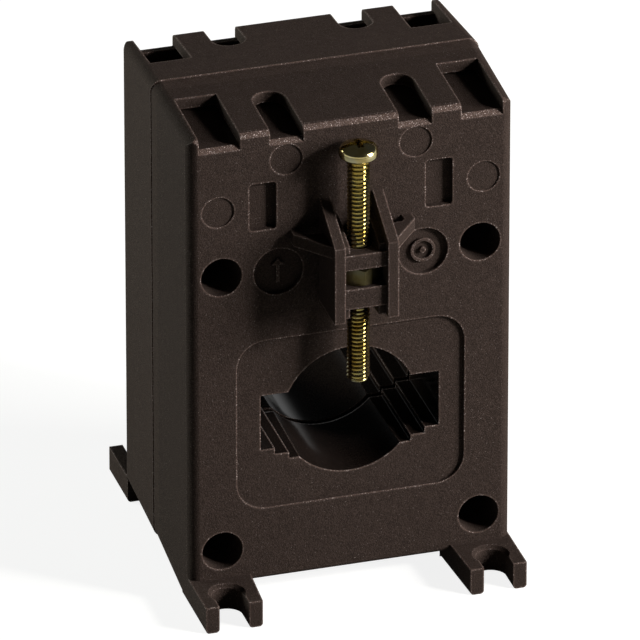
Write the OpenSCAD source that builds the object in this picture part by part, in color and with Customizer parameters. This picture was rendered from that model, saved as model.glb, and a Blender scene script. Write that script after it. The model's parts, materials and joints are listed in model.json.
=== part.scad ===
// Window-type current transformer with a moulded two-shell case.
// X runs to the right, Y to the back and Z up; the feet stand on Z = 0.

/* [Case] */
// Width of the case at its front and rear faces
body_w = 56.7; // [54:0.1:80]
// Height of the front face
body_h = 85.2; // [82:0.2:115]
// Depth of the front shell, from its face to the parting line
front_d = 21; // [19:0.5:32]
// Depth of the rear shell, from the parting line to its face
rear_d = 19.6; // [17:0.1:30]
// Thickness of the shell walls
wall_t = 2.0; // [1.6:0.1:2.6]
// Moulding draft of each side over one shell
side_draft = 0.3; // [0.2:0.1:1]
// Moulding draft of the underside over one shell
floor_draft = 0.8; // [0.2:0.1:1.5]
// Rise of the roof from the front face to the parting line
roof_rise = 1.0; // [0.4:0.1:3]
// Fall of the roof from the parting line to the rear face
roof_fall = 1.6; // [0.4:0.1:3]
// Radius of the upright edges and of the edges that run back
edge_r = 2.0; // [0.8:0.1:2.4]
// Radius of the upper and lower edge of each face
rim_r = 1.1; // [0.6:0.1:2]
// How far the rear shell stands proud of the front one along the parting line
part_step = 0.15; // [0:0.05:0.3]

/* [Window] */
// Diameter of the round cable window
bore_d = 23.7; // [18:0.1:26]
// Height of the window centre above the underside of the case
window_z = 30.2; // [28:0.2:38]
// Width of the slot for the widest bar
bar_w = 31.4; // [26:0.2:36]
// Height of the slot for the widest bar
bar_h = 10.4; // [8:0.2:14]
// How far the slot centre lies under the window centre
bar_drop = 0.4; // [0:0.1:2]
// How much each step is narrower than the one above it, on each side
step_in = 2.5; // [1.5:0.1:3.4]
// Depth of each step
step_h = 1.15; // [0.6:0.05:2]
// Wall of the window tube
tube_t = 1.4; // [1.2:0.1:2]
// How much the window's radius narrows from a face to the parting line
bore_draft = 0.25; // [0.1:0.05:0.4]
// How far the rear half of the window tube reaches past the parting line
tube_lap = 3; // [0:0.5:6]
// Width of the groove in the window where the two halves meet
groove_w = 1.2; // [0.4:0.1:2]
// Depth of that groove
groove_sink = 0.6; // [0.2:0.1:0.8]

/* [Sunk panel] */
// Width of the sunk panel round the window
panel_w = 40; // [36:0.5:46]
// Height of the sunk panel
panel_h = 32; // [28:0.5:40]
// Corner radius of the sunk panel
panel_r = 5; // [2:0.5:8]
// Depth of the sunk panel
panel_sink = 0.6; // [0.2:0.1:0.9]

/* [Fixing holes] */
// Diameter of the four fixing holes
hole_d = 7.1; // [4:0.1:8.6]
// Distance between the holes across the case
hole_span_x = 45.3; // [40:0.1:64]
// Distance between the holes up the case
hole_span_z = 52.3; // [46:0.1:60]
// Height of the lower holes above the underside of the case
hole_low_z = 6.6; // [6:0.1:9]
// Wall of the tubes round the holes
pillar_t = 1.4; // [1:0.1:2]

/* [Feet] */
// Width of a foot at its root
foot_w = 11; // [9:0.5:14]
// Width of a foot at its tip
foot_tip_w = 10; // [8:0.5:13]
// Reach of a foot in front of the case
foot_l = 9.5; // [9.5:0.5:14]
// Thickness of a foot
foot_t = 4.9; // [3.6:0.1:6]
// How far the feet reach below the case
foot_drop = 3.5; // [1.4:0.1:4]
// Width of the screw slot in a foot
foot_slot_w = 5.2; // [4:0.1:6]
// Distance from the case to the closed end of the slot
foot_slot_end = 2.4; // [2:0.1:5]
// Radius of the lower edges of a foot
foot_r = 0.7; // [0.3:0.1:0.8]
// How far the front feet reach under the case
foot_root_front = 5; // [2:0.5:6]
// How far the rear feet reach under the case
foot_root_rear = 2; // [1:0.5:6]
// Length over which the rib behind each front foot fades out under the case
foot_rib_l = 15; // [4:0.5:15]

/* [Bar clamp] */
// Thickness of the clamp walls
clamp_wall_t = 1.9; // [1.2:0.1:2.6]
// Height of the lower end of the clamp walls
clamp_low_z = 52.0; // [50:0.1:56]
// Height of the front edge of the clamp walls
clamp_front_h = 14.1; // [13:0.1:18]
// Rise of the clamp walls from their front edge to the case
clamp_slope_h = 5.4; // [2:0.1:8]
// Reach of the side gussets beyond the clamp walls
gusset_w = 5.0; // [3:0.1:8]
// Length of the gussets at their outer end
gusset_end_l = 1.9; // [1:0.1:3]
// Thickness of the side gussets
gusset_t = 2.2; // [1.4:0.1:3]
// Thickness of the lower cross plate
plate_low_t = 3.7; // [2:0.1:4.5]
// Thickness of the upper cross plate
plate_up_t = 2.8; // [2:0.1:3.5]
// Play of the nut in its pocket, up and down
nut_play = 0.4; // [0.2:0.05:0.8]
// Play of the nut between the clamp walls, on each side
nut_side_gap = 0.2; // [0.1:0.05:0.4]

/* [Clamp screw] */
// Thread diameter of the clamp screw
screw_d = 4; // [3:0.5:5]
// Length of the clamp screw under its head
screw_l = 42; // [30:1:52]
// Diameter of the screw head
head_d = 6.7; // [6:0.1:8.4]
// Height of the screw head
head_h = 2.6; // [2:0.1:3.5]
// Height of the head's underside above the underside of the case
head_z = 80.6; // [74:0.2:90]
// Width across the flats of the nut
nut_af = 7; // [6:0.1:8.4]
// Thickness of the nut
nut_t = 3.2; // [2.4:0.1:4]

/* [Roof pockets] */
// Width of the roof strip outside the square pockets
pocket_side_w = 1.85; // [1.8:0.05:4]
// Width of the square pockets
square_pocket_w = 7.2; // [5:0.1:9]
// Distance from the centre line to the round-ended pockets
round_pocket_x = 11.2; // [9:0.1:14]
// Width of the round-ended pockets
round_pocket_w = 5.8; // [4:0.1:7]
// Length of the square pockets at the front
pocket_l = 14.4; // [10:0.1:16]
// Length of the round-ended pockets at the front
round_front_l = 13; // [9:0.1:15]
// Length of the square openings at the rear
square_rear_l = 11.7; // [9:0.1:15]
// Length of the round-ended openings at the rear
round_rear_l = 8.8; // [8:0.1:12]
// Depth of the pockets under the edge of the roof
pocket_sink = 2.0; // [1:0.1:3]
// Chamfer of the pocket floors where they meet the face
pocket_chamfer = 0.8; // [0.3:0.1:1.5]

/* [Marks on the front face] */
// Radius of the four round sunk marks
mark_r = 2.8; // [2:0.1:3.4]
// Depth of the round sunk marks
mark_sink = 0.25; // [0.1:0.05:0.5]
// Distance from the centre line to the inner marks
mark_in_x = 11.3; // [10:0.1:14]
// Distance from the centre line to the outer marks
mark_out_x = 23.2; // [21:0.1:24]
// Radius of the two discs that carry the direction marks
disc_r = 4.3; // [3.5:0.1:4.6]
// Depth of the discs
disc_sink = 0.9; // [0.5:0.1:1.2]
// Distance from the centre line to the discs
disc_x = 12.7; // [12:0.1:13.5]
// Width of the two upright pockets in the face
face_pocket_w = 4.7; // [3:0.1:5.4]
// Height of the upright pockets
face_pocket_h = 8.8; // [6:0.1:10]
// Depth of the upright pockets
face_pocket_sink = 1.2; // [0.6:0.1:1.4]
// Corner radius of the upright pockets
face_pocket_r = 0.6; // [0.3:0.1:1.4]
// Distance from the centre line to the upright pockets
face_pocket_x = 15.4; // [15:0.1:17]

/* [Core and winding] */
// Thickness of each layer of insulating tape
tape_t = 0.3; // [0.2:0.05:0.6]
// Thickness of the secondary winding over the core
winding_t = 1.3; // [0.8:0.1:2]
// Thickness of the spacer rings at both ends of the winding
spacer_t = 3; // [1:0.1:5]
// Running and fitting clearance of the wound core in the case
core_gap = 0.3; // [0.1:0.05:0.6]
// Diameter of the two lead wires
lead_d = 0.8; // [0.6:0.1:1.2]
// Outer diameter of the sleeves on the leads
sleeve_d = 1.8; // [1.6:0.1:2.4]

/* [Terminals] */
// Width of a brass terminal bar
terminal_w = 6; // [5:0.1:8]
// Height of a terminal's screw block
terminal_h = 5; // [4:0.1:7]
// Thickness of the terminal's tab
tab_t = 0.8; // [0.5:0.1:1.2]
// Width of the tab
tab_w = 6.3; // [4.8:0.1:6.3]
// Height of the tab over the shelf
tab_h = 11; // [8:0.5:12]
// Thread diameter of the terminal screws
term_screw_d = 3.5; // [3:0.1:4]
// Depth of the terminals' shelf under the rear edge of the roof
shelf_drop = 18.1; // [17:0.1:24]
// Thickness of the terminal shelf
shelf_t = 2; // [1.5:0.1:3]

/* [Hidden] */
$fn = 64;

eps = 0.01;
bite = 0.02;
cut = 1;
thread_gap = 0.05;
base_z = foot_drop;
depth = front_d + rear_d;
front_y = -depth / 2;
part_y = front_y + front_d;
rear_y = depth / 2;
half_w = body_w / 2;
front_top = base_z + body_h;
ridge_top = front_top + roof_rise;
rear_top = ridge_top - roof_fall;
rear_h = body_h + roof_rise - roof_fall;
square_pocket_x = half_w - pocket_side_w - square_pocket_w / 2;

// Window, fixing holes and the marks that hang from the roof
bore_z = base_z + window_z;
bar_z = bore_z - bar_drop;
hole_z = base_z + hole_low_z;
pillar_r = hole_d / 2 + pillar_t;
mark_drop = 5.7;
face_pocket_drop = 14;
disc_z = hole_z + hole_span_z - 0.3;

// Lip of the rear shell that enters the front shell
lip_l = 1.5;
lip_gap = 0.1;

// The wound core fills the ring between the window tube, the case and the pillars
tube_corner_x = bar_w / 2 + tube_t;
tube_corner_z = bar_h / 2 + bar_drop + tube_t;
ring_in = sqrt(pow(tube_corner_x, 2) + pow(tube_corner_z, 2)) + core_gap;
low_pillar_l = sqrt(pow(hole_span_x / 2, 2) + pow(window_z - hole_low_z, 2));
high_pillar_l = sqrt(pow(hole_span_x / 2, 2) + pow(hole_low_z + hole_span_z - window_z, 2));
ring_room = min(half_w - wall_t, window_z - wall_t, low_pillar_l - pillar_r, high_pillar_l - pillar_r);
ring_out = ring_room - core_gap;
ring_half_l = depth / 2 - wall_t - spacer_t;

// Clamp on the front face; its reach follows from the nut
clamp_edge = 1.05;
nut_corner_r = nut_af / cos(30) / 2;
nut_back_gap = 0.15;
screw_out = nut_corner_r + nut_back_gap;
screw_y = front_y - screw_out;
clamp_half_in = nut_af / 2 + nut_side_gap;
clamp_half_out = clamp_half_in + clamp_wall_t;
clamp_d = screw_out + nut_corner_r + clamp_edge;
nut_pocket_h = nut_t + nut_play;
plate_inset = 0.8;
rib_inset = 1.6;
rib_t = 1.2;
rib_low_h = 2.1;
rib_up_h = 4.3;
rib_tip_h = 1.2;
clamp_z = base_z + clamp_low_z;
clamp_edge_z = clamp_z + clamp_front_h;
plate_low_z = clamp_z + rib_low_h;
nut_z = plate_low_z + plate_low_t;
plate_up_z = nut_z + nut_pocket_h;
rib_up_z = plate_up_z + plate_up_t;
guide_d = screw_d + 0.6;
thread_d = screw_d - 2 * thread_gap;

// Terminals under the rear openings of the roof
shelf_gap = 0.6;
shelf_low = max(hole_z + hole_span_z + pillar_r, bore_z + ring_out) + shelf_gap + shelf_t;
shelf_top = max(rear_top - shelf_drop, shelf_low);
shelf_l = square_rear_l + 1.5;
term_gap = 0.6;
term_y = rear_y - wall_t - term_gap - terminal_w / 2;
term_thread_d = term_screw_d - 2 * thread_gap;
strip_t = 2;
plate_t = 1;
tab_gap = 0.3;
tab_x = min(square_pocket_x, half_w - wall_t - tab_gap - tab_w / 2);
term_head_d = 5.4;
term_head_h = 2.2;
lead_x = round_pocket_x + terminal_w / 2 + 1;
lead_tip = 1;
lead_start_z = bore_z + sqrt(pow(ring_out, 2) - pow(lead_x, 2));
sleeve_gap = 0.1;

// The shells are drawn with their face on Y = 0, looking to -Y, and set in place by these two
module at_front() {
    translate([0, front_y, 0]) children();
}

module at_rear() {
    translate([0, rear_y, 0]) mirror([0, 1, 0]) children();
}

// Box centred on X with its lower front edge at the given place
module bar(w, d, h, y, z) {
    translate([-w / 2, y, z]) cube([w, d, h]);
}

// Cylinder along Y from y0 to y1
module rod_y(r, y0, y1, x, z) {
    translate([x, y1, z]) rotate([90, 0, 0]) cylinder(r = r, h = y1 - y0);
}

// Profile in Y and Z, drawn out along X from x0
module profile_x(x0, w, points) {
    translate([x0, 0, 0]) rotate([90, 0, 90]) linear_extrude(height = w) polygon(points);
}

// Block that widens from its face on Y = 0 to the parting line at Y = deep; proud widens it there once more
module drafted_block(w, h, deep, rise, proud) {
    half = w / 2 + side_draft + proud;
    intersection() {
        translate([0, 0, -h])
            linear_extrude(height = 3 * h)
                polygon([[-w / 2, 0], [w / 2, 0], [half, deep], [-half, deep]]);
        profile_x(-w, 2 * w, [[0, 0], [deep, -floor_draft - proud], [deep, h + rise + proud], [0, h]]);
    }
}

// Quarter-round cutter along Z: what lies outside the round in the +X +Y corner goes
module corner_cutter(r, len) {
    difference() {
        cube([3 * r, 3 * r, len]);
        translate([0, 0, -cut]) cylinder(r = r + bite, h = len + 2 * cut);
    }
}

// The same cutter turned to run along X and laid on the upper or lower edge of the face
module rim_cutter(w, z, turn) {
    translate([-w, rim_r, z]) rotate([90, 0, 90]) rotate([0, 0, turn]) corner_cutter(rim_r, 2 * w);
}

// Cutter along an edge that runs back from the face, tilted up by rise and out by spread over its length
module running_cutter(x, z, rise, spread, len, flip) {
    over = 4;
    translate([x, 0, z])
        rotate([atan(rise / len), 0, -atan(spread / len)])
            translate([0, -over, 0])
                rotate([-90, 0, 0])
                    mirror([0, flip, 0])
                        corner_cutter(edge_r, len + 2 * over);
}

// Rounded outside edges of a drafted block
module edge_cutters(w, h, deep, rise, proud) {
    r = edge_r;
    over = 4;
    spread = side_draft + proud;
    rim_cutter(w, h - rim_r, 90);
    rim_cutter(w, rim_r, 180);
    for (s = [0, 1]) mirror([s, 0, 0]) {
        translate([w / 2 - r, r, -over]) mirror([0, 1, 0]) corner_cutter(r, h + 2 * over);
        running_cutter(w / 2 - r, h - r, rise + proud, spread, deep, 1);
        running_cutter(w / 2 - r, r, -floor_draft - proud, spread, deep, 0);
    }
}

// Outside of one shell and the hollow in it
module shell_walls(h, deep, rise, proud) {
    inner_w = body_w - 2 * wall_t;
    translate([0, 0, base_z]) difference() {
        drafted_block(body_w, h, deep, rise, proud);
        edge_cutters(body_w, h, deep, rise, proud);
        translate([0, wall_t, wall_t]) drafted_block(inner_w, h - 2 * wall_t, deep - wall_t + eps, rise, 0);
    }
}

// Rods on the axes of the four fixing holes
module hole_rods(r, y0, y1) {
    for (x = [-1, 1], z = [0, 1])
        rod_y(r, y0, y1, x * hole_span_x / 2, hole_z + z * hole_span_z);
}

// The three widths of bar that the window takes, grown by grow
module bar_steps(grow, y0, y1) {
    low = bar_z - bar_h / 2 - grow;
    len = y1 - y0;
    bar(bar_w + 2 * grow, len, bar_h + 2 * grow, y0, low);
    for (i = [1, 2]) bar(bar_w - 2 * i * step_in + 2 * grow, len, bar_h, y0, low - i * step_h);
}

// Tube round the window, or the groove in it, between y0 and y1
module window_tube(grow, y0, y1) {
    rod_y(bore_d / 2 + grow, y0, y1, 0, bore_z);
    bar_steps(grow, y0, y1);
}

// Window through one half of the tube, with the draft of its round part
module window_cut(len) {
    slope = bore_draft / len;
    r_face = bore_d / 2 + slope * cut;
    r_end = bore_d / 2 - bore_draft - slope * cut;
    translate([0, -cut, bore_z]) rotate([-90, 0, 0]) cylinder(r1 = r_face, r2 = r_end, h = len + 2 * cut);
    bar_steps(0, -cut, len + cut);
    window_tube(groove_sink - bore_draft, len - groove_w / 2, len + cut);
}

// Sunk field with round corners, centred on X and Z
module sunk_field(w, h, r, sink) {
    cx = w / 2 - r;
    cz = h / 2 - r;
    bar(w, cut + sink, 2 * cz, -cut, -cz);
    bar(2 * cx, cut + sink, h, -cut, -h / 2);
    for (x = [-cx, cx], z = [-cz, cz]) rod_y(r, -cut, sink, x, z);
}

// Cutter that rounds a lower edge of a foot: turn is 180 for a left edge and -90 for a right edge
module foot_edge(x, root, turn, lean) {
    translate([x, root, foot_r])
        rotate([90, 0, lean])
            rotate([0, 0, turn])
                corner_cutter(foot_r, foot_l + root + cut);
}

// Open slot of a foot, with rounded lower edges and a chamfer round its closed end
module foot_slot() {
    chamfer = 0.6;
    r = foot_slot_w / 2;
    translate([0, 0, -cut]) cylinder(r = r, h = foot_t + 2 * cut);
    translate([-r, -foot_l, -cut]) cube([foot_slot_w, foot_l, foot_t + 2 * cut]);
    translate([0, 0, foot_t - chamfer]) cylinder(r1 = r, r2 = r + 2 * chamfer, h = 2 * chamfer);
    rotate_extrude() difference() {
        translate([r - eps, -cut]) square([foot_r + eps, foot_r + cut]);
        translate([r + foot_r, foot_r]) circle(r = foot_r + bite);
    }
    foot_edge(-r - foot_r, 0, -90, 0);
    foot_edge(r + foot_r, 0, 180, 0);
}

// Forked foot at the lower left of the face, with its root under the case
module foot(root) {
    lean = atan((foot_w - foot_tip_w) / (foot_l + root));
    difference() {
        linear_extrude(height = foot_t)
            polygon([[-half_w, -foot_l], [-half_w + foot_tip_w, -foot_l], [-half_w + foot_w, root],
                [-half_w, root]]);
        foot_edge(-half_w + foot_r, root, 180, 0);
        foot_edge(-half_w + foot_w - foot_r, root, -90, -lean);
        translate([-half_w + foot_tip_w / 2, -foot_slot_end - foot_slot_w / 2, 0]) foot_slot();
    }
}

// Rib that runs back from a front foot and fades out under the case
module foot_rib() {
    rib_w = 2.4;
    rib_z = foot_r + 0.1;
    start = foot_root_front - eps;
    end = foot_root_front + foot_rib_l;
    profile_x(-half_w, rib_w, [[start, rib_z], [end, base_z], [end, foot_t], [start, foot_t]]);
}

// What both shells share before their cuts
module shell_form(h, deep, rise, proud, tube_l, root) {
    shell_walls(h, deep, rise, proud);
    hole_rods(pillar_r, wall_t - eps, deep);
    window_tube(tube_t, wall_t - eps, tube_l);
    foot(root);
    mirror([1, 0, 0]) foot(root);
}

// What is cut from both shells
module shell_cuts(deep, tube_l) {
    hole_rods(hole_d / 2, -cut, deep + cut);
    window_cut(tube_l);
    translate([0, 0, bar_z]) sunk_field(panel_w, panel_h, panel_r, panel_sink);
}

// Straight-sided pocket in the roof, open at the face, with its floor at z0
module square_pocket(l, z0, inset) {
    translate([square_pocket_x - square_pocket_w / 2, inset, z0])
        cube([square_pocket_w, l - inset, ridge_top + cut - z0]);
}

// Pocket with a round end
module round_pocket(l, z0, inset) {
    r = round_pocket_w / 2;
    h = ridge_top + cut - z0;
    translate([round_pocket_x - r, inset, z0]) cube([round_pocket_w, l - r - inset, h]);
    translate([round_pocket_x, l - r, z0]) cylinder(r = r, h = h);
}

// All four pockets to one depth, each open at the face
module pocket_row(square_l, round_l, z0, inset) {
    for (s = [0, 1]) mirror([s, 0, 0]) {
        square_pocket(square_l, z0, inset);
        round_pocket(round_l, z0, inset);
    }
}

// Chamfer where the pocket floors meet the face
module pocket_chamfers(z0) {
    c = pocket_chamfer;
    outline = [[-cut, z0 - c - cut], [c + cut, z0 + cut], [-cut, z0 + cut]];
    for (s = [0, 1]) mirror([s, 0, 0]) {
        profile_x(square_pocket_x - square_pocket_w / 2, square_pocket_w, outline);
        profile_x(round_pocket_x - round_pocket_w / 2, round_pocket_w, outline);
    }
}

// Round sunk marks, discs and upright pockets of the front face
module face_marks() {
    for (s = [-1, 1]) {
        rod_y(mark_r, -cut, mark_sink, s * mark_in_x, front_top - mark_drop);
        rod_y(mark_r, -cut, mark_sink, s * mark_out_x, front_top - face_pocket_drop);
        rod_y(disc_r, -cut, disc_sink, s * disc_x, disc_z);
        translate([s * face_pocket_x, 0, front_top - face_pocket_drop])
            sunk_field(face_pocket_w, face_pocket_h, face_pocket_r, face_pocket_sink);
    }
}

// Side wall of the clamp with its sloping top
module clamp_wall() {
    root = 0.5;
    top_z = clamp_edge_z + clamp_slope_h;
    profile_x(clamp_half_in, clamp_wall_t, [[root, clamp_z], [-clamp_d, clamp_z],
        [-clamp_d, clamp_edge_z], [0, top_z], [root, top_z]]);
}

// Gusset beside a clamp wall, with the core hole between it, the wall and the face
module clamp_gusset() {
    root = 0.5;
    hole_l = 2.3;
    hole_corner = 0.6;
    outer_wall = 1.8;
    x0 = clamp_half_out;
    x1 = clamp_half_out + gusset_w;
    x2 = x1 - outer_wall;
    difference() {
        translate([0, 0, clamp_edge_z - gusset_t]) linear_extrude(height = gusset_t)
            polygon([[x0 - root, rib_t - clamp_d], [x0, rib_t - clamp_d], [x1, -gusset_end_l],
                [x1, root], [x0 - root, root]]);
        translate([0, 0, clamp_edge_z - gusset_t - cut]) linear_extrude(height = gusset_t + 2 * cut)
            polygon([[x0, -hole_l], [x2 - hole_corner, -hole_l], [x2, hole_corner - hole_l],
                [x2, 0], [x0, 0]]);
    }
}

// Guide ribs inside a clamp wall, over and under the cross plates
module clamp_ribs() {
    root = 0.5;
    tip_y = rib_inset - clamp_d;
    profile_x(clamp_half_in - rib_t, rib_t + eps, [[root, rib_up_z - eps], [tip_y, rib_up_z - eps],
        [tip_y, rib_up_z + rib_tip_h], [0, rib_up_z + rib_up_h], [root, rib_up_z + rib_up_h]]);
    translate([clamp_half_in - rib_t, tip_y, clamp_z]) cube([rib_t + eps, root - tip_y, rib_low_h + eps]);
}

// Clamp housing that is moulded on the front face: it holds the nut between two cross plates
module clamp_housing() {
    root = 0.5;
    plate_d = clamp_d - plate_inset + root;
    plate_w = 2 * clamp_half_in + 2 * eps;
    for (s = [0, 1]) mirror([s, 0, 0]) {
        clamp_wall();
        clamp_gusset();
        clamp_ribs();
    }
    difference() {
        union() {
            bar(plate_w, plate_d, plate_low_t, plate_inset - clamp_d, plate_low_z);
            bar(plate_w, plate_d, plate_up_t, plate_inset - clamp_d, plate_up_z);
        }
        translate([0, -screw_out, clamp_z]) cylinder(d = guide_d, h = clamp_front_h);
    }
}

// Block inside the rim of the case, for the lip and its seat
module lip_form(inset, y0, y1) {
    low = base_z - floor_draft + inset;
    bar(body_w + 2 * side_draft - 2 * inset, y1 - y0, ridge_top - inset - low, y0, low);
}

module front_shell() {
    floor_z = front_top - pocket_sink;
    floor_w = 2 * square_pocket_x + square_pocket_w;
    tube_l = front_d - tube_lap;
    color([0.22, 0.19, 0.18]) at_front() difference() {
        union() {
            shell_form(body_h, front_d, roof_rise, 0, tube_l, foot_root_front);
            foot_rib();
            mirror([1, 0, 0]) foot_rib();
            bar(floor_w, pocket_l, wall_t, wall_t - eps, floor_z - wall_t);
            clamp_housing();
        }
        shell_cuts(front_d, tube_l);
        pocket_row(pocket_l, round_front_l, floor_z, -cut);
        pocket_chamfers(floor_z);
        face_marks();
        lip_form(wall_t / 2, front_d - lip_l - lip_gap, front_d + cut);
    }
}

// Rim that steps into the front shell
module rear_lip() {
    difference() {
        lip_form(wall_t / 2 + lip_gap, rear_d - eps, rear_d + lip_l);
        lip_form(wall_t, rear_d - cut, rear_d + lip_l + cut);
    }
}

module rear_shell() {
    floor_z = rear_top - pocket_sink;
    tube_l = rear_d + tube_lap;
    color([0.21, 0.19, 0.17]) at_rear() difference() {
        union() {
            shell_form(rear_h, rear_d, roof_fall, part_step, tube_l, foot_root_rear);
            bar(body_w - wall_t, shelf_l, shelf_t, wall_t - eps, shelf_top - shelf_t);
            rear_lip();
        }
        shell_cuts(rear_d, tube_l);
        pocket_row(square_rear_l, round_rear_l, floor_z, -cut);
        pocket_row(square_rear_l, round_rear_l, floor_z - 2 * wall_t, wall_t);
        pocket_chamfers(floor_z);
        for (s = [-1, 1]) translate([s * lead_x, rear_y - term_y, shelf_top - shelf_t - cut])
            cylinder(d = sleeve_d + 2 * sleeve_gap, h = shelf_t + 2 * cut);
    }
}

// Ring round the window axis
module ring(r_in, r_out, y0, y1) {
    translate([0, y1, bore_z]) rotate([90, 0, 0]) rotate_extrude()
        translate([r_in, 0]) square([r_out - r_in, y1 - y0]);
}

// Closed layer of the given thickness, wrapped round a ring
module wrap(r_in, r_out, half_l, t) {
    difference() {
        ring(r_in, r_out, -half_l, half_l);
        ring(r_in + t, r_out - t, t - half_l, half_l - t);
    }
}

// Upright rods where the leads leave the winding
module lead_rods(d, z0, z1) {
    for (s = [-1, 1]) translate([s * lead_x, term_y, z0]) cylinder(d = d, h = z1 - z0);
}

module winding_tape() {
    color([0.86, 0.78, 0.45]) difference() {
        wrap(ring_in, ring_out, ring_half_l, tape_t);
        lead_rods(lead_d + 2 * sleeve_gap, bore_z, lead_start_z + cut);
    }
}

module secondary_winding() {
    t = tape_t;
    color([0.72, 0.38, 0.18]) wrap(ring_in + t, ring_out - t, ring_half_l - t, winding_t);
}

module core_tape() {
    t = tape_t + winding_t;
    color([0.9, 0.88, 0.8]) wrap(ring_in + t, ring_out - t, ring_half_l - t, tape_t);
}

module core_ring() {
    t = 2 * tape_t + winding_t;
    color([0.42, 0.43, 0.45]) ring(ring_in + t, ring_out - t, t - ring_half_l, ring_half_l - t);
}

module spacer_front() {
    color([0.75, 0.68, 0.5]) ring(ring_in, ring_out, front_y + wall_t, -ring_half_l);
}

module spacer_rear() {
    color([0.75, 0.68, 0.5]) ring(ring_in, ring_out, ring_half_l, rear_y - wall_t);
}

// Lead wire from the winding up through the shelf into the terminal
module lead() {
    seat = 0.02;
    color([0.72, 0.38, 0.18]) difference() {
        translate([lead_x, term_y, lead_start_z - 2 * cut])
            cylinder(d = lead_d, h = shelf_top + strip_t - lead_tip - lead_start_z + 2 * cut);
        ring(ring_in, ring_out - tape_t + seat, -ring_half_l, ring_half_l);
    }
}

module lead_right() {
    lead();
}

module lead_left() {
    mirror([1, 0, 0]) lead();
}

// Sleeve on the lead, from the taped winding to the underside of the terminal
module lead_sleeve() {
    seat = 0.02;
    color([0.75, 0.2, 0.12]) difference() {
        translate([lead_x, term_y, lead_start_z - 2 * cut])
            cylinder(d = sleeve_d, h = shelf_top - seat - lead_start_z + 2 * cut);
        translate([lead_x, term_y, lead_start_z - 3 * cut])
            cylinder(d = lead_d + sleeve_gap, h = shelf_top - lead_start_z + 4 * cut);
        ring(ring_in, ring_out + seat, -ring_half_l, rear_y - wall_t);
    }
}

module lead_sleeve_right() {
    lead_sleeve();
}

module lead_sleeve_left() {
    mirror([1, 0, 0]) lead_sleeve();
}

// Brass terminal: screw block, base strip and tab
module terminal() {
    block_x = round_pocket_x - terminal_w / 2;
    strip_w = tab_x - block_x + tab_w / 2;
    color([0.8, 0.66, 0.3]) translate([0, term_y, shelf_top]) difference() {
        union() {
            translate([block_x, -terminal_w / 2, 0]) cube([terminal_w, terminal_w, terminal_h]);
            translate([block_x, -terminal_w / 2, 0]) cube([strip_w, terminal_w, strip_t]);
            translate([tab_x - tab_w / 2, -tab_t / 2, 0]) cube([tab_w, tab_t, tab_h]);
        }
        translate([round_pocket_x, 0, -cut]) cylinder(d = term_screw_d, h = terminal_h + 2 * cut);
        translate([lead_x, 0, -cut]) cylinder(d = lead_d + sleeve_gap, h = strip_t + 2 * cut);
    }
}

module terminal_right() {
    terminal();
}

module terminal_left() {
    mirror([1, 0, 0]) terminal();
}

// Terminal screw with a slotted head, screwed down on its wire plate
module terminal_screw() {
    slot_w = 0.8;
    slot_sink = 1;
    z = shelf_top + terminal_h + plate_t;
    color([0.82, 0.74, 0.42]) translate([round_pocket_x, term_y, z]) difference() {
        union() {
            cylinder(d = term_head_d, h = term_head_h);
            translate([0, 0, -terminal_h]) cylinder(d = term_thread_d, h = terminal_h + eps);
        }
        bar(2 * term_head_d, slot_w, 2 * slot_sink, -slot_w / 2, term_head_h - slot_sink);
    }
}

module terminal_screw_right() {
    terminal_screw();
}

module terminal_screw_left() {
    mirror([1, 0, 0]) terminal_screw();
}

// Square plate that holds the wire under the screw head
module wire_plate() {
    color([0.7, 0.68, 0.62]) translate([round_pocket_x, term_y, shelf_top + terminal_h]) difference() {
        bar(terminal_w, terminal_w, plate_t, -terminal_w / 2, 0);
        translate([0, 0, -cut]) cylinder(d = term_screw_d, h = plate_t + 2 * cut);
    }
}

module wire_plate_right() {
    wire_plate();
}

module wire_plate_left() {
    mirror([1, 0, 0]) wire_plate();
}

// Screw that presses the bar down, with a domed head that takes a blade or a cross
module clamp_screw() {
    dome_r = 6;
    recess_sink = 1.5;
    recess_w = 1;
    cross_l = 2 * head_d / 3;
    recess_z = head_h - recess_sink;
    color([0.85, 0.72, 0.3]) translate([0, screw_y, base_z + head_z]) difference() {
        union() {
            intersection() {
                cylinder(d = head_d, h = head_h);
                translate([0, 0, head_h - dome_r]) sphere(r = dome_r);
            }
            translate([0, 0, -screw_l]) cylinder(d = thread_d, h = screw_l + eps);
        }
        bar(2 * head_d, recess_w, 2 * recess_sink, -recess_w / 2, recess_z);
        bar(recess_w, cross_l, 2 * recess_sink, -cross_l / 2, recess_z);
    }
}

module clamp_nut() {
    color([0.8, 0.66, 0.28]) translate([0, screw_y, nut_z]) difference() {
        rotate([0, 0, 90]) cylinder(d = nut_af / cos(30), h = nut_t, $fn = 6);
        translate([0, 0, -cut]) cylinder(d = screw_d, h = nut_t + 2 * cut);
    }
}

front_shell();
rear_shell();
clamp_screw();
clamp_nut();
core_ring();
core_tape();
secondary_winding();
winding_tape();
spacer_front();
spacer_rear();
lead_left();
lead_right();
lead_sleeve_left();
lead_sleeve_right();
terminal_left();
terminal_right();
terminal_screw_left();
terminal_screw_right();
wire_plate_left();
wire_plate_right();
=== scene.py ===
"""Looks of a window-type current transformer: moulded case, clamp screw, terminals and wound core.

Lengths are in metres, X to the right, Y to the back and Z up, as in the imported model.
"""
import math

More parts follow.
